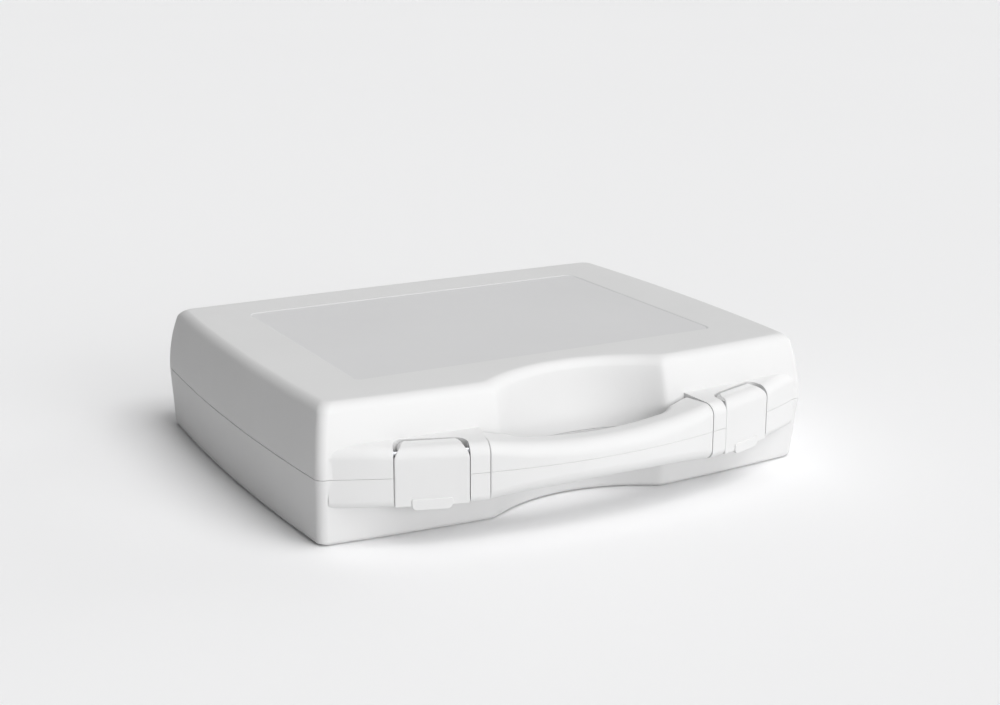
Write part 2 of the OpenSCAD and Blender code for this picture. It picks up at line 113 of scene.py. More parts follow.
HINGE_X, HINGE_W, KNUCKLE_R, HINGE_BORE_R = 85, 42, 4.0, 1.52
FOOT_X, FOOT_W, FOOT_CLEAR, FOOT_H = 116, 14, 7.7, 16
FOOT_Y = HINGE_Y + 5

BASE_FOAM_TOP = in_mm(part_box("base_foam"))[1][2]
LID_FOAM_LOW = in_mm(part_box("lid_foam"))[0][2]


# ---------------------------------------------------------------- plan curves


def arc(centre, r, a0, a1, n, end=False):
    """Points round a circle from angle a0 to a1 in degrees, the last one left out unless end is set."""
    a = np.radians(np.linspace(a0, a1, n + 1)[: None if end else -1])
    return np.stack([centre[0] + r * np.cos(a), centre[1] + r * np.sin(a)], 1)


def bow_radius(span, bow):
    return (span * span + bow * bow) / (2 * bow)


def crossing(c1, r1, c2, r2, side):
    """Where two circles cross, on the given side of the line between their centres."""
    c1, c2 = np.array(c1, float), np.array(c2, float)
    d = c2 - c1
    span = np.linalg.norm(d)
    a = (r1 * r1 - r2 * r2 + span * span) / (2 * span)
    return c1 + a * d / span + side * math.sqrt(r1 * r1 - a * a) * np.array([-d[1], d[0]]) / span


def heading(start, end):
    return math.degrees(math.atan2(end[1] - start[1], end[0] - start[0]))


def front_columns():
    """Shares of the front wall's half width, close together where the scoop's edge turns."""
    spans = ((0, 0.28, 10), (0.28, 0.46, 19), (0.46, 1, 13))
    return np.concatenate([np.linspace(*span)[:-1] for span in spans])


def outline(insets, corner_r, scoop):
    """The plan outline: four bowed walls inset by (side, front, back), round corners, finger scoop."""
    side, front, back = insets
    rs, rf, rb = (bow_radius(*p) for p in ((SPAN_Y, SIDE_BOW), (SPAN_X, FRONT_BOW), (SPAN_X, BACK_BOW)))
    cs = (CASE_W / 2 - side - rs, 0)
    cf = (0, rf - FRONT_REACH + front)
    cb = (0, BACK_REACH - back - rb)
    pf = crossing(cs, rs - corner_r, cf, rf - corner_r, -1)
    pb = crossing(cs, rs - corner_r, cb, rb - corner_r, 1)
    af, ab = heading(cf, pf), heading(cb, pb)
    x = front_columns() * rf * math.cos(math.radians(af))
    wall = cf[1] - np.sqrt(rf * rf - x * x)
    hollow = scoop[0] + np.sqrt(np.maximum(scoop[1] ** 2 - x**2, 0))
    half = np.concatenate([
        np.stack([x, (wall + hollow + np.hypot(wall - hollow, SCOOP_SOFT)) / 2], 1),
        arc(pf, corner_r, af, heading(cs, pf), 12),
        arc(cs, rs, heading(cs, pf), heading(cs, pb), 18),
        arc(pb, corner_r, heading(cs, pb), ab, 12),
        arc(cb, rb, ab, 90, 24, end=True),
    ])
    other = half[-2:0:-1] * [-1, 1]
    return np.concatenate([half, other])


def round_in(r, rise):
    return r - math.sqrt(max(0.0, r * r - max(0.0, rise) ** 2))


def lid_lean(z):
    return max(0.0, (z - SEAM_Z) / (CASE_H - SEAM_Z)) ** 2


def wall_y(x, z, back=False):
    """The outer wall's place along Y, at a place on the front or back wall."""
    reach, bow, side = (BACK_REACH, BACK_BOW, 2) if back else (FRONT_REACH, FRONT_BOW, 1)
    inset = BASE_DRAFT[side] * (1 - z / SEAM_Z) if z < SEAM_Z else LID_DRAFT[side] * lid_lean(z)
    y = reach - bow * (x / SPAN_X) ** 2 - inset
    return y if back else -y


def scoop_plan(z, grow=0.0):
    """Centre and radius of the finger scoop at a height, from its depth and its width at the wall."""
    share = (z - SEAM_Z) / (CASE_H - SEAM_Z)
    lean = SCOOP_DOWN * (1 - z / SEAM_Z) if z < SEAM_Z else SCOOP_UP * (1 - (1 - share) ** 1.7)
    deepest = SCOOP_CUT - FRONT_REACH + lean
    depth = deepest - wall_y(SCOOP_HALF_W, z)
    r = (SCOOP_HALF_W**2 + depth**2) / (2 * depth)
    return deepest - r, r + grow


def inner_corner(inset):
    return max(0.8, CORNER_R - inset)


def base_ring(z, thick=0.0, floor=0.0, extra=0.0):
    turn = round_in(BASE_EDGE_R, BASE_EDGE_R - (z - floor)) + extra
    insets = thick + turn + BASE_DRAFT * (1 - (z - floor) / SEAM_Z)
    return lifted(outline(insets, inner_corner(thick + extra), scoop_plan(z, thick + turn)), z)


def lid_ring(z, thick=0.0, top=CASE_H, extra=0.0):
    edge, scoop_edge = LID_EDGE_R - thick, SCOOP_EDGE_R - thick
    insets = thick + extra + round_in(edge, z - (top - edge)) + LID_DRAFT * lid_lean(z)
    scoop = scoop_plan(z, thick + extra + round_in(scoop_edge, z - (top - scoop_edge)))
    return lifted(outline(insets, inner_corner(thick + extra), scoop), z)


def lifted(plan, z):
    return np.column_stack([plan, np.full(len(plan), float(z))])


def label_ring(inset, z):
    """The label recess's outline, with one point for each point of the case's outline."""
    w, d, r = LABEL_W / 2 - inset, LABEL_D / 2 - inset, LABEL_R - inset
    n_front = len(front_columns())
    x = front_columns() * (w - r)
    half = np.concatenate([
        np.stack([x, np.full(n_front, -d)], 1),
        arc((w - r, r - d), r, -90, 0, 12),
        np.stack([np.full(18, w), np.linspace(r - d, d - r, 19)[:-1]], 1),
        arc((w - r, d - r), r, 0, 90, 12),
        np.stack([np.linspace(w - r, 0, 25), np.full(25, d)], 1),
    ])
    return lifted(np.concatenate([half, half[-2:0:-1] * [-1, 1]]), z)


# ---------------------------------------------------------------- mesh building


def to_frame(points):
    """Body millimetres to the row frame's metres."""
    p = np.array(points, float) + [0, CASE_Y, 0]
    return p * MM


def mesh_object(name, verts, faces):
    mesh = bpy.data.meshes.new(name)
    mesh.from_pydata([tuple(v) for v in to_frame(verts)], [], [tuple(int(i) for i in f) for f in faces])
    obj = bpy.data.objects.new(name, mesh)
    bpy.context.scene.collection.objects.link(obj)
    bm = bmesh.new()
    bm.from_mesh(mesh)
    bmesh.ops.recalc_face_normals(bm, faces=bm.faces)
    bm.to_mesh(mesh)
    bm.free()
    return obj


def loft(name, rings):
    """A closed solid through rings of equal point counts, capped at both ends."""
    n, m = len(rings[0]), len(rings)
    faces = [[k * n + i, k * n + (i + 1) % n, (k + 1) * n + (i + 1) % n, (k + 1) * n + i]
             for k in range(m - 1) for i in range(n)]
    faces += [list(range(n))[::-1], list(range((m - 1) * n, m * n))]
    return mesh_object(name, np.concatenate(rings), faces)


def settled(obj):
    """The object with its modifiers applied."""
    bpy.context.view_layer.update()
    dg = bpy.context.evaluated_depsgraph_get()
    mesh = bpy.data.meshes.new_from_object(obj.evaluated_get(dg))
    old = obj.data
    obj.modifiers.clear()
    obj.data = mesh
    bpy.data.meshes.remove(old)
    return obj


def combine(target, others, operation):
    """Adds or cuts the other solids, which are used up."""
    for other in others:
        mod = target.modifiers.new("combine", "BOOLEAN")
        mod.operation, mod.object, mod.solver = operation, other, "EXACT"
        settled(target)
        bpy.data.objects.remove(other)
    return target


def rounded_edges(obj, width, segments=3, limit=35):
    mod = obj.modifiers.new("edges", "BEVEL")
    mod.width, mod.segments, mod.limit_method = width * MM, segments, "ANGLE"
    mod.angle_limit, mod.harden_normals = math.radians(limit), False
    mod.use_clamp_overlap = True
    return settled(obj)


def finish_surface(obj, limit=28):
    """Smooth shading that breaks at real edges, with flat faces kept flat."""
    bm = bmesh.new()
    bm.from_mesh(obj.data)
    bmesh.ops.remove_doubles(bm, verts=bm.verts, dist=0.002 * MM)
    bmesh.ops.dissolve_degenerate(bm, dist=0.002 * MM, edges=bm.edges)
    bmesh.ops.recalc_face_normals(bm, faces=bm.faces)
    bm.to_mesh(obj.data)
    bm.free()
    obj.data.shade_smooth()
    obj.data.set_sharp_from_angle(angle=math.radians(limit))
    mod = obj.modifiers.new("normals", "WEIGHTED_NORMAL")
    mod.keep_sharp, mod.weight = True, 60
    return settled(obj)


def prism(name, profile, place, low, high):
    """A solid of one profile between two stations; place(u, v, w) gives the body point."""
    verts = [place(u, v, w) for w in (low, high) for u, v in profile]
    n = len(profile)
    faces = [[i, (i + 1) % n, n + (i + 1) % n, n + i] for i in range(n)]
    faces += [list(range(n))[::-1], list(range(n, 2 * n))]
    return mesh_object(name, verts, faces)


def tube(name, y, z, r, x0, x1):
    circle = arc((0, 0), r, 0, 360, 48)
    return prism(name, circle, lambda u, v, w: (w, y + u, z + v), x0, x1)


# ---------------------------------------------------------------- front band


def band_angle(x):
    return math.asin(x / BAND_R)


def on_band(angle, depth, z):
    """A body point a given depth behind the band's face."""
    rho = BAND_R - depth
    return (rho * math.sin(angle), BAND_CY - rho * math.cos(angle), z)


def depth_to_wall(angle, z=SEAM_Z):
    """How far the case's front wall lies behind the band's face."""
    depth = 10.0
    for _ in range(12):
        x, y, _z = on_band(angle, depth, z)
        depth += (wall_y(x, z) - y) / math.cos(angle)
    return depth


def crown_height(angle):
    """The crown's own height along the band: it climbs to the ledge's height towards the outer ends."""
    share = min(1.0, max(0.0, (BAND_R * math.sin(angle) - CLIMB_X) / CLIMB_RUN))
    return BAND_Z1 + CLIMB * share * share * (3 - 2 * share)


def band_section(angle, z0, z1, r0, r1):
    """The band's cross-section at an angle, as far back as the middle of the case's wall."""
    points = []
    for up, z, r in ((-1, z0, r0), (1, crown_height(angle) if r1 else z1, r1)):
        root = max(0.4, depth_to_wall(angle, z + r1 / 4) + WALL / 2)
        side = [min(root, r * (1 - math.cos(a))) for a in np.radians(np.linspace(0, 90, 10 if r else 1))]
        side = [(d, z - up * (r - math.sqrt(max(0.0, r * r - (r - d) ** 2)))) for d in side]
        climbs = up > 0 and r and root > r + 1
        side.append((root + 0.01, LEDGE_Z if climbs else side[-1][1]))
        points += side[::-1] if up < 0 else side
    return [on_band(angle, d, z) for d, z in points]


def pocket_cutter(name):
    """The upright hollow that a latch lies in, its inner corners rounded."""
    half, place = LATCH_W / 2 + LATCH_GAP, latch_place(1)
    plan = [(-half, -5), (half, -5)]
    for side, start in ((1, 0), (-1, 90)):
        centre = (side * (half - POCKET_R), POCKET_DEPTH - POCKET_R)
        plan += [tuple(p) for p in arc(centre, POCKET_R, start, start + 90, 10, end=True)]
    return prism(name, plan, place, 0, CASE_H)


def mirrored(obj, name):
    copy = obj.copy()
    copy.data = obj.data.copy()
    copy.name = name
    bpy.context.scene.collection.objects.link(copy)
    copy.data.transform(Matrix.Scale(-1, 4, (1, 0, 0)))
    copy.data.flip_normals()
    return copy


def with_mirror(obj):
    return [obj, mirrored(obj, obj.name + "_m")]


def band_parts(tag, heights, radii):
    """One shell's length of the band on both sides, with the latch's pocket cut out."""
    angles = np.linspace(band_angle(HANDLE_HALF_W + HANDLE_GAP), band_angle(BAND_HALF_W), 36)
    band = loft(tag + "_band", [np.array(band_section(a, *heights, *radii)) for a in angles])
    combine(band, [pocket_cutter(tag + "_pocket")], "DIFFERENCE")
    return with_mirror(rounded_edges(band, BAND_EDGE_R, 3, 50))


# ---------------------------------------------------------------- back hinge and feet


def knuckle(name, x0, x1, up):
    """One hinge knuckle: a barrel that runs into the back wall, above or below the seam."""
    barrel = [(u, up * v) for u, v in arc((0, 0), KNUCKLE_R, -178, 55, 24, end=True)]
    root = [(BACK_REACH - 2.6 - HINGE_Y, up * 11.0), (BACK_REACH - 2.0 - HINGE_Y, up * 0.1)]
    block = prism(name, barrel + root, lambda u, v, w: (w, HINGE_Y + u, SEAM_Z + v), x0, x1)
    return rounded_edges(block, 0.4, 2, 40)


def knuckles(tag, up):
    left, right, side = HINGE_X - HINGE_W / 2, HINGE_X + HINGE_W / 2, HINGE_W * 0.24
    outer, middle = [(left, left + side), (right - side, right)], [(left + side + 0.3, right - side - 0.3)]
    spans = outer if up < 0 else middle
    return [p for i, s in enumerate(spans) for p in with_mirror(knuckle(f"{tag}_knuckle{i}", *s, up))]


def foot(tag, up):
    """A standing foot on the back wall, tapered and rounded."""
    near = SEAM_Z + up * FOOT_CLEAR
    far = near + up * FOOT_H
    root_near = wall_y(FOOT_X, near, back=True) - 1.0
    root_far = wall_y(FOOT_X, far, back=True) - 1.0
    profile = [(root_near, near), (FOOT_Y - 0.1, near), (FOOT_Y - 0.1, far - up * 2.5), (root_far, far)]
    ends = (FOOT_X - FOOT_W / 2, FOOT_X + FOOT_W / 2)
    block = prism(tag + "_foot", profile, lambda u, v, w: (w, u, v), *ends)
    return with_mirror(rounded_edges(block, 1.8, 4, 30))


def hinge_bores(tag):
    ends = (HINGE_X - HINGE_W / 2 - 1, HINGE_X + HINGE_W / 2 + 1)
    return with_mirror(tube(tag + "_bore", HINGE_Y, SEAM_Z, HINGE_BORE_R, *ends))


# ---------------------------------------------------------------- shells


def base_lip():
    """The rim inside the seam, along the front and sides, that the lid closes over."""
    sections = [(WALL - 0.5, SEAM_Z - 4), (WALL - 0.5, SEAM_Z - 1.2), (WALL + 0.35, SEAM_Z - 1.2),
                (WALL + 0.35, SEAM_Z + 2.5), (WALL + 0.65, SEAM_Z + 2.85), (WALL + 1.25, SEAM_Z + 2.85),
                (WALL + 1.55, SEAM_Z + 2.5), (WALL + 1.55, SEAM_Z - 4)]
    rows = []
    for inset, z in sections:
        lean = max(0.0, z - SEAM_Z) * SCOOP_UP * 1.7 / (CASE_H - SEAM_Z) + (0.3 if z > SEAM_Z - 2 else 0.0)
        rows.append(lifted(outline([inset] * 3, inner_corner(inset), scoop_plan(SEAM_Z, inset + lean)), z))
    keep = [i for i, p in enumerate(rows[0]) if p[1] < BACK_REACH - 22]
    start = next(k for k in range(len(keep)) if keep[k] - keep[k - 1] != 1)
    keep = keep[start:] + keep[:start]
    return loft("lip", [np.array([row[i] for row in rows]) for i in keep])


def base_shell():
    outer = [base_ring(z) for z in BASE_EDGE_R * (1 - np.sin(np.radians([90, 68, 45, 22, 0])))]
    outer += [base_ring(z) for z in np.linspace(BASE_EDGE_R, SEAM_Z - SEAM_GAP / 2 - SEAM_EDGE, 9)[1:]]
    rim_z = SEAM_Z - SEAM_GAP / 2
    rim = [base_ring(rim_z, extra=SEAM_EDGE), base_ring(rim_z, thick=WALL)]
    inner = [base_ring(z, thick=WALL, floor=WALL) for z in (SEAM_Z - 1.5, 24, 16, 9)]
    inner += [base_ring(WALL + BASE_EDGE_R * (1 - math.sin(a)), thick=WALL, floor=WALL)
              for a in np.radians([0, 45, 90])]
    shell = loft("base_shell_moulding", outer + rim + inner)
    extras = band_parts("base", (BAND_Z0, rim_z), (BAND_LOW_R, 0))
    extras += knuckles("base", -1) + foot("base", -1) + [base_lip()]
    combine(shell, extras, "UNION")
    combine(shell, hinge_bores("base"), "DIFFERENCE")
    return finish_surface(shell)


def lid_shell():
    top = CASE_H
    turn = np.radians(np.linspace(0, 90, 13))
    rim_z = SEAM_Z + SEAM_GAP / 2
    inner = [lid_ring(top - WALL - (LID_EDGE_R - WALL) * (1 - math.sin(a)), thick=WALL, top=top - WALL)
             for a in np.radians([90, 60, 30, 0])]
    inner += [lid_ring(z, thick=WALL, top=top - WALL) for z in (54, 47, 41, 36)]
    rim = [lid_ring(rim_z, thick=WALL), lid_ring(rim_z, extra=SEAM_EDGE)]
    outer = [lid_ring(z) for z in np.linspace(rim_z + SEAM_EDGE, top - LID_EDGE_R, 12)]
    outer += [lid_ring(top - LID_EDGE_R * (1 - math.sin(a))) for a in turn[1:]]
    flat = [lid_ring(top, extra=1.5), lid_ring(top, extra=4.0)]
    steps = [(-0.5, 0), (2.5, LABEL_SINK)]
    turns = (0, 22.5, 45, 67.5, 90)
    steps[1:1] = [(a / 90, LABEL_SINK * (1 - math.cos(math.radians(2 * a))) / 2) for a in turns]
    recess = [label_ring(inset, top - sink) for inset, sink in steps]
    shell = loft("lid_shell_moulding", inner + rim + outer + flat + recess)
    extras = band_parts("lid", (rim_z, BAND_Z1), (0, CROWN_R)) + knuckles("lid", 1) + foot("lid", 1)
    combine(shell, extras, "UNION")
    combine(shell, hinge_bores("lid"), "DIFFERENCE")
    return finish_surface(shell)


# ---------------------------------------------------------------- handle


def handle_section(x, upper, inset=0.0):
    """Half of the handle's cross-section, above or below its seam."""
    share = abs(x) / HANDLE_HALF_W
    up = 1 if upper else -1
    angle = band_angle(x)
    near_end = 1 / (1 + math.exp(-(abs(x) - (HANDLE_HALF_W - EAR_W)) / 0.9))
    half_h = (GRIP_H + (HANDLE_END_H - GRIP_H) * share**2) / 2 + 0.5 * share**6 - inset
    half_h += 0 if upper else GRIP_DROP * (1 - share**2 / 2)
    reach = depth_to_wall(angle) - EAR_GAP
    depth = GRIP_DEPTH + (max(reach, GRIP_DEPTH) - GRIP_DEPTH) * near_end
    depth = min(depth, reach) - inset
    r_front = GRIP_EDGE_R - share**3 - inset
    turned = min(1.0, max(0.0, (abs(x) - REAR_TURN_X) / REAR_TURN_RUN))
    r_back = GRIP_EDGE_R - REAR_TURN * turned - inset
    seam = HANDLE_SEAM / 2
    edge = 0.12
    points = [(inset + edge, seam)] + [(inset, seam + edge)]
    points += list(map(tuple, arc((inset + r_front, half_h - r_front), r_front, 180, 90, 10, end=True)))
    points += list(map(tuple, arc((depth - r_back, half_h - r_back), r_back, 90, 0, 10, end=True)))
    points += [(depth, seam + edge), (depth - edge, seam)]
    return np.array([on_band(angle, d, SEAM_Z + up * h) for d, h in points])


def handle_half(name, upper):
    end_r = 0.6
    turns = np.radians([90, 60, 30])
    ends = [(HANDLE_HALF_W - end_r * (1 - math.sin(t)), end_r * (1 - math.cos(t))) for t in turns]
    inner = HANDLE_HALF_W - end_r
    stations = [(-x, i) for x, i in ends] + [(x, 0.0) for x in np.linspace(-inner, inner, 81)] + ends[::-1]
    return finish_surface(loft(name, [handle_section(x, upper, i) for x, i in stations]), 40)


# ---------------------------------------------------------------- latches


def latch_place(side):
    """Turns a latch's own place (along the band, depth, height) into a body point."""
    a = side * band_angle(LATCH_X)

    def place(u, depth, z):
        rho = BAND_R - depth
        turn = a + u / BAND_R
        return (rho * math.sin(turn), BAND_CY - rho * math.cos(turn), z)

    return place


def latch_path():
    """The skin from its lower edge up the face and over the crown: (depth, height), inward normal."""
    low, shoulder = BAND_Z0 + 0.4, BAND_Z1 - CROWN_R
    path = [((0.0, z), (1.0, 0.0)) for z in np.linspace(low, low + 1, 6)[:-1]]
    path += [((0.0, z), (1.0, 0.0)) for z in np.linspace(low + 1, shoulder, 10)]
    for a in np.radians(np.linspace(180, 90, 19))[1:]:
        place = (CROWN_R + CROWN_R * math.cos(a), shoulder + CROWN_R * math.sin(a))
        path.append((place, (-math.cos(a), -math.sin(a))))
    lean = math.hypot(1, LATCH_SLOPE)
    for depth in np.linspace(CROWN_R, LATCH_BACK, 8)[1:]:
        path.append(((depth, BAND_Z1 + LATCH_SLOPE * (depth - CROWN_R)), (LATCH_SLOPE / lean, -1 / lean)))
    return path


def latch_half_width(z):
    """Half the latch's width at a height: full below, its upper corners rounded away."""
    rise = min(LATCH_CORNER_R, max(0.0, z - (BAND_Z1 - CROWN_R)))
    return LATCH_W / 2 - round_in(LATCH_CORNER_R, rise)


def latch_skin(name, side):
    """The latch's face and crown, a plate bent over a path, with its long edges rounded."""
    place = latch_place(side)
    path = latch_path()
    runs = np.concatenate([[0], np.cumsum([math.dist(p, q) for (p, _), (q, _) in zip(path, path[1:])])])
    edge = 0.7
    rings = []
    for (point, normal), run in zip(path, runs):
        inset = round_in(edge, edge - min(run, runs[-1] - run))
        half, t = latch_half_width(point[1]) - inset, LATCH_T - 2 * inset
        r = min(edge, t / 2 - 0.01)
        corners = ((half - r, r, -90), (half - r, t - r, 0), (r - half, t - r, 90), (r - half, r, 180))
        ring = []
        for u0, d0, start in corners:
            for a in np.radians(np.linspace(start, start + 90, 5)):
                u, d = u0 + r * math.cos(a), inset + d0 + r * math.sin(a)
                ring.append(place(u, point[0] + normal[0] * d, point[1] + normal[1] * d))
        rings.append(np.array(ring))
    return loft(name, rings)


def latch_block(name, side):
    """The solid block behind the crown that the pivot pin runs through."""
    place = latch_place(side)
    low, shoulder, r = BAND_Z1 - 7.5, BAND_Z1 - CROWN_R, CROWN_R - 0.3
    profile = [(LATCH_BACK - 0.2, low), (LATCH_BACK - 0.2, BAND_Z1 + 0.5)]
    crown = np.radians(np.linspace(90, 170, 9))
    profile += [(CROWN_R + r * math.cos(a), shoulder + r * math.sin(a)) for a in crown]
    profile += [(1.0, low)]
    rings = []
    for u in np.linspace(-15, 15, 31):
        over = max(0.0, abs(u) - (LATCH_W / 2 - LATCH_CORNER_R))
        high = shoulder + math.sqrt(LATCH_CORNER_R**2 - over**2) - 0.3
        rings.append(np.array([place(u, d, min(z, high)) for d, z in profile]))
    return loft(name, rings)


def latch_tab(name, side):
    place = latch_place(side)
    w, r, top = TAB_W / 2, 2.5, TAB_Z + 5.2
    profile = [p for u, v, a, q in ((w - r, TAB_Z + r, -90, r), (w - 0.8, top - 0.8, 0, 0.8),
                                    (0.8 - w, top - 0.8, 90, 0.8), (r - w, TAB_Z + r, 180, r))
               for p in arc((u, v), q, a, a + 90, 6, end=True)]
    block = prism(name, profile, lambda u, v, d: place(u, d, v), -TAB_PROUD, 1.7)
    return rounded_edges(block, 0.3, 3, 40)


def latch_back(name, side):
    """Hook and side flanges behind the latch's face."""
    place = latch_place(side)
    low = BAND_Z0 + 0.4
    boxes = [((-9, 9), (1.8, POCKET_DEPTH - 3.3), (SEAM_Z - 8.8, SEAM_Z - 5.6))]
    webs = (0.5 - LATCH_W / 2, LATCH_W / 2 - 2.3)
    boxes += [((x, x + 1.8), (1.6, 6.0), (low + 1.6, BAND_Z1 - 8)) for x in webs]
    parts = []
    for i, (u, d, z) in enumerate(boxes):
        profile = [(u[0], d[0]), (u[1], d[0]), (u[1], d[1]), (u[0], d[1])]
        part = prism(f"{name}{i}", profile, place, *z)
        parts.append(rounded_edges(part, 0.4, 2, 40))
    return parts


def latch(name, side):
    skin = latch_skin(name, side)
    parts = [latch_block(name + "_block", side), latch_tab(name + "_tab", side)]
    combine(skin, parts + latch_back(name + "_back", side), "UNION")
    return finish_surface(skin, 40)


# ---------------------------------------------------------------- foam


def round_plate(name, x, y, w, d, r, z0, z1):
    """An upright cutter with round corners."""
    plan = [p for cx, cy, a in ((1, -1, -90), (1, 1, 0), (-1, 1, 90), (-1, -1, 180))
            for p in arc((x + cx * (w / 2 - r), y + cy * (d / 2 - r)), r, a, a + 90, 10, end=True)]
    return prism(name, plan, lambda u, v, z: (u, v, z), z0, z1)


def base_foam():
    gap = WALL + 0.5
    low, top = gap, BASE_FOAM_TOP
    rings = []
    for z, ease in ((low, 0), (top - 2, 0), (top - 0.6, 0.6), (top, 2.0)):
        share = (z - low) / (top - low)
        insets = gap + ease + BASE_DRAFT * (1 - share) + [1.2, 3 + share, 1.2]
        rings.append(lifted(outline(insets, 2.0, scoop_plan(z, gap + 2 + ease)), z))
    bed = loft("base_foam_bed", rings)
    cutters = [
        round_plate("cut0", -66, 4, 96, 140, 10, WALL + 6, CASE_H),
        round_plate("cut1", 52, 34, 76, 76, 37.9, WALL + 8, CASE_H),
        round_plate("cut2", 84, -48, 52, 58, 16, WALL + 6, CASE_H),
        round_plate("cut3", 22, -48, 40, 58, 14, WALL + 6, CASE_H),
        round_plate("cut4", 47, -22, 14, 60, 6, WALL + 14, CASE_H),
    ]
    combine(bed, cutters, "DIFFERENCE")
    return finish_surface(rounded_edges(bed, 1.0, 2, 50), 40)


def lid_foam():
    gap = WALL + 0.5
    low, top = LID_FOAM_LOW, CASE_H - gap
    rings = []
    for z, ease in ((low, 2.2), (low + 0.5, 0.8), (low + 2, 0), (top, 0)):
        insets = gap + 0.8 + ease + LID_DRAFT * lid_lean(z) + max(0.0, z - (top - 2)) / 2
        rings.append(lifted(outline(insets, 2.0, scoop_plan(z, gap + 2 + ease)), z))
    return finish_surface(loft("lid_foam_pad", rings), 40)


# ---------------------------------------------------------------- materials


def new_material(name):
    mat = bpy.data.materials.new(name)
    mat.use_nodes = True
    tree = mat.node_tree
    return mat, tree, tree.nodes["Principled BSDF"]


def node(tree, kind, **values):
    made = tree.nodes.new(kind)
    for key, value in values.items():
        if key in made.inputs:
            made.inputs[key].default_value = value
        else:
            setattr(made, key, value)
    return made


def noise(tree, scale, detail=2.0, roughness=0.5):
    """Noise in the object's own metres."""
    place = tree.nodes.get("Place") or node(tree, "ShaderNodeTexCoord", name="Place")
    made = node(tree, "ShaderNodeTexNoise", Scale=scale, Detail=detail, Roughness=roughness)
    tree.links.new(place.outputs["Object"], made.inputs["Vector"])
    return made.outputs["Fac"]


def ramp(tree, value, low, high, stops=(0.3, 0.7)):
    """Spreads a noise value between two colours or two numbers."""
    made = tree.nodes.new("ShaderNodeMapRange")
    made.inputs["From Min"].default_value, made.inputs["From Max"].default_value = stops
    made.inputs["To Min"].default_value, made.inputs["To Max"].default_value = low, high
    tree.links.new(value, made.inputs["Value"])
    return made.outputs["Result"]


def tint(tree, value, low, high):
    made = tree.nodes.new("ShaderNodeMix")
    made.data_type = "RGBA"
    made.inputs[6].default_value, made.inputs[7].default_value = (*low, 1), (*high, 1)
    tree.links.new(value, made.inputs["Factor"])
    return made.outputs[2]


def bump(tree, shader, layers):
    """Stacks bump layers, each (height, distance in metres, strength)."""
    last = None
    for height, distance, strength in layers:
        made = node(tree, "ShaderNodeBump", Distance=distance, Strength=strength)
        tree.links.new(height, made.inputs["Height"])
        if last:
            tree.links.new(last, made.inputs["Normal"])
        last = made.outputs["Normal"]
    tree.links.new(last, shader.inputs["Normal"])


def white_plastic(name, low, high, rough, grain):
    """Satin polypropylene with a fine spark-eroded grain and slight flow marks."""
    mat, tree, shader = new_material(name)
    tree.links.new(tint(tree, ramp(tree, noise(tree, 14, 3), 0, 1), low, high), shader.inputs["Base Color"])
    tree.links.new(ramp(tree, noise(tree, 60, 3), rough - 0.04, rough + 0.04), shader.inputs["Roughness"])
    bump(tree, shader, [(noise(tree, 9, 2), 0.0008, 0.15), (noise(tree, 2200, 2, 0.6), 0.00005, grain)])
    shader.inputs["IOR"].default_value = 1.49
    shader.inputs["Specular IOR Level"].default_value = 0.35
    return mat


def steel(name):
    mat, tree, shader = new_material(name)
    tone = tint(tree, noise(tree, 900, 3), (0.42, 0.43, 0.45), (0.6, 0.61, 0.63))
    tree.links.new(tone, shader.inputs["Base Color"])
    tree.links.new(ramp(tree, noise(tree, 400, 4), 0.22, 0.4), shader.inputs["Roughness"])
    bump(tree, shader, [(noise(tree, 3000, 2), 0.00003, 0.4)])
    shader.inputs["Metallic"].default_value = 1.0
    return mat


def foam(name):
    """Dark open-cell foam: small round pores over a soft, uneven tone."""
    mat, tree, shader = new_material(name)
    place = node(tree, "ShaderNodeTexCoord")
    cells = node(tree, "ShaderNodeTexVoronoi", Scale=1100.0)
    tree.links.new(place.outputs["Object"], cells.inputs["Vector"])
    pores = ramp(tree, cells.outputs["Distance"], 0, 1, (0.0, 0.6))
    mixed = node(tree, "ShaderNodeMath", operation="MULTIPLY")
    tree.links.new(pores, mixed.inputs[0])
    tree.links.new(ramp(tree, noise(tree, 90, 4), 0.6, 1.0), mixed.inputs[1])
    tone = tint(tree, mixed.outputs[0], (0.018, 0.019, 0.021), (0.085, 0.088, 0.095))
    tree.links.new(tone, shader.inputs["Base Color"])
    tree.links.new(ramp(tree, noise(tree, 300, 2), 0.85, 1.0), shader.inputs["Roughness"])
    bump(tree, shader, [(noise(tree, 60, 3), 0.0012, 0.5), (cells.outputs["Distance"], 0.0006, 0.9)])
    shader.inputs["Specular IOR Level"].default_value = 0.2
    return mat


def floor_material(name):
    mat, tree, shader = new_material(name)
    tree.links.new(tint(tree, noise(tree, 1.2, 2), *FLOOR_TONES), shader.inputs["Base Color"])
    shader.inputs["Roughness"].default_value = 0.9
    shader.inputs["Specular IOR Level"].default_value = 0.15
    return mat


def dress(obj, material):
    obj.data.materials.clear()
    obj.data.materials.append(material)
    return obj


def dress_recess(lid, material):
    """Gives the floor of the label recess its smoother finish."""
    lid.data.materials.append(material)
    for face in lid.data.polygons:
        x, y, z = (v / MM for v in face.center)
        if z > CASE_H - LABEL_SINK - 0.05 and abs(x) < LABEL_W / 2 and abs(y - CASE_Y) < LABEL_D / 2:
            face.material_index = 1


# ---------------------------------------------------------------- studio


FLOOR_TONES = ((0.85, 0.85, 0.855), (0.865, 0.865, 0.87))
CAMERA_PLACE = (-393.0, -738.6, 281.6)
LIGHT_SPREAD = 40
# Name, azimuth and elevation in degrees, and strength
LIGHTS = [
    ("front_low", 18, 6, 1.40),
    ("front_high", 18, 35, 0.82),
    ("overhead_right", 35, 62, 1.58),
    ("overhead", 0, 88, 0.54),
    ("left_low", -30, 12, 0.62),
    ("right_low", 100, 12, 0.55),
    ("behind_right", 150, 35, 0.33),
]
WORLD = 0.03


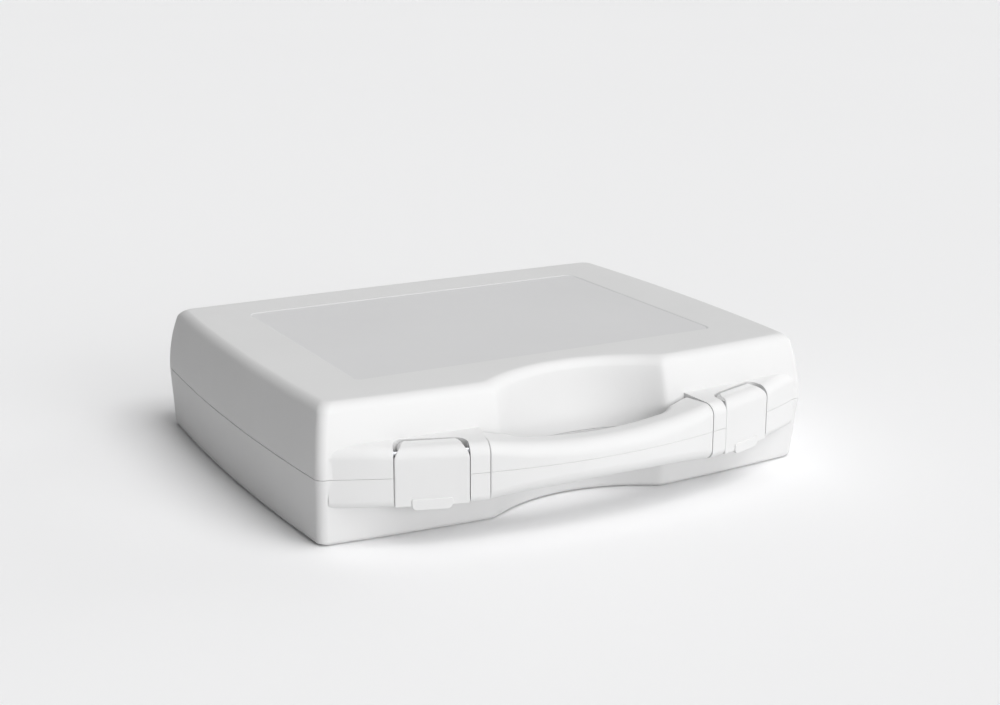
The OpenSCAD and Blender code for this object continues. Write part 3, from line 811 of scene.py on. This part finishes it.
def make_camera():
    """The photograph's viewpoint: ahead of the case, to its left and above it."""
    data = bpy.data.cameras.new("camera")
    data.sensor_width, data.lens = 36.0, 59.74
    cam = bpy.data.objects.new("camera", data)
    bpy.context.scene.collection.objects.link(cam)
    yaw, pitch, roll = (math.radians(a) for a in (28.864, 15.57, 0.206))
    ahead = Vector((math.sin(yaw) * math.cos(pitch), math.cos(yaw) * math.cos(pitch), -math.sin(pitch)))
    turn = ahead.to_track_quat("-Z", "Y").to_matrix().to_4x4() @ Matrix.Rotation(roll, 4, "Z")
    cam.matrix_world = Matrix.Translation(Vector(to_frame([CAMERA_PLACE])[0])) @ turn
    data.clip_start, data.clip_end = 0.01, 100
    bpy.context.scene.camera = cam


def sun(name, azimuth, elevation, strength):
    """A soft distant light; azimuth is measured from the front, positive to the right."""
    data = bpy.data.lights.new(name, "SUN")
    data.energy, data.angle = strength, math.radians(LIGHT_SPREAD)
    lamp = bpy.data.objects.new(name, data)
    bpy.context.scene.collection.objects.link(lamp)
    a, e = math.radians(azimuth), math.radians(elevation)
    towards = Vector((math.sin(a) * math.cos(e), -math.cos(a) * math.cos(e), math.sin(e)))
    lamp.rotation_mode = "QUATERNION"
    lamp.rotation_quaternion = towards.to_track_quat("Z", "Y")
    return lamp


def make_studio():
    corners = [(-6000, -6000, 0), (6000, -6000, 0), (6000, 9000, 0), (-6000, 9000, 0)]
    floor = mesh_object("floor", corners, [[0, 1, 2, 3]])
    dress(floor, floor_material("pale_floor"))
    for light in LIGHTS:
        sun(*light)
    world = bpy.data.worlds.new("studio")
    world.use_nodes = True
    world.node_tree.nodes["Background"].inputs["Color"].default_value = (1.0, 1.0, 1.0, 1)
    world.node_tree.nodes["Background"].inputs["Strength"].default_value = WORLD
    bpy.context.scene.world = world
    bpy.context.scene.view_settings.view_transform = "Standard"


# ---------------------------------------------------------------- the case


def main():
    make_camera()
    case_white = white_plastic("case_white", (0.65, 0.65, 0.65), (0.67, 0.67, 0.67), 0.56, 0.35)
    latch_white = white_plastic("latch_white", (0.64, 0.64, 0.64), (0.66, 0.66, 0.66), 0.5, 0.2)
    pieces = [
        (base_shell(), "base", "base_shell", "white_plastic", case_white),
        (lid_shell(), "lid", "lid_shell", "white_plastic", case_white),
        (handle_half("handle_upper_grip", True), "base", "handle_upper_shell", "white_plastic", case_white),
        (handle_half("handle_lower_grip", False), "base", "handle_lower_shell", "white_plastic", case_white),
        (latch("latch_left_moulding", -1), "latch_left", "latch_left", "latch_plastic", latch_white),
        (latch("latch_right_moulding", 1), "latch_right", "latch_right", "latch_plastic", latch_white),
        (base_foam(), "base", "base_foam", "foam", foam("base_foam_cells")),
        (lid_foam(), "lid", "lid_foam", "foam", foam("lid_foam_cells")),
    ]
    for obj, body, cad_node, slot, material in pieces:
        dress(obj, material)
        if cad_node == "lid_shell":
            low, high = (0.615, 0.615, 0.62), (0.63, 0.63, 0.635)
            dress_recess(obj, white_plastic("recess_white", low, high, 0.6, 0.2))
        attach(obj, body)
        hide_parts(cad_node)
    metal = steel("pin_steel")
    for name, obj in frame["nodes"].items():
        if "pin" in name or "screw" in name:
            dress(obj, metal)
    make_studio()


main()
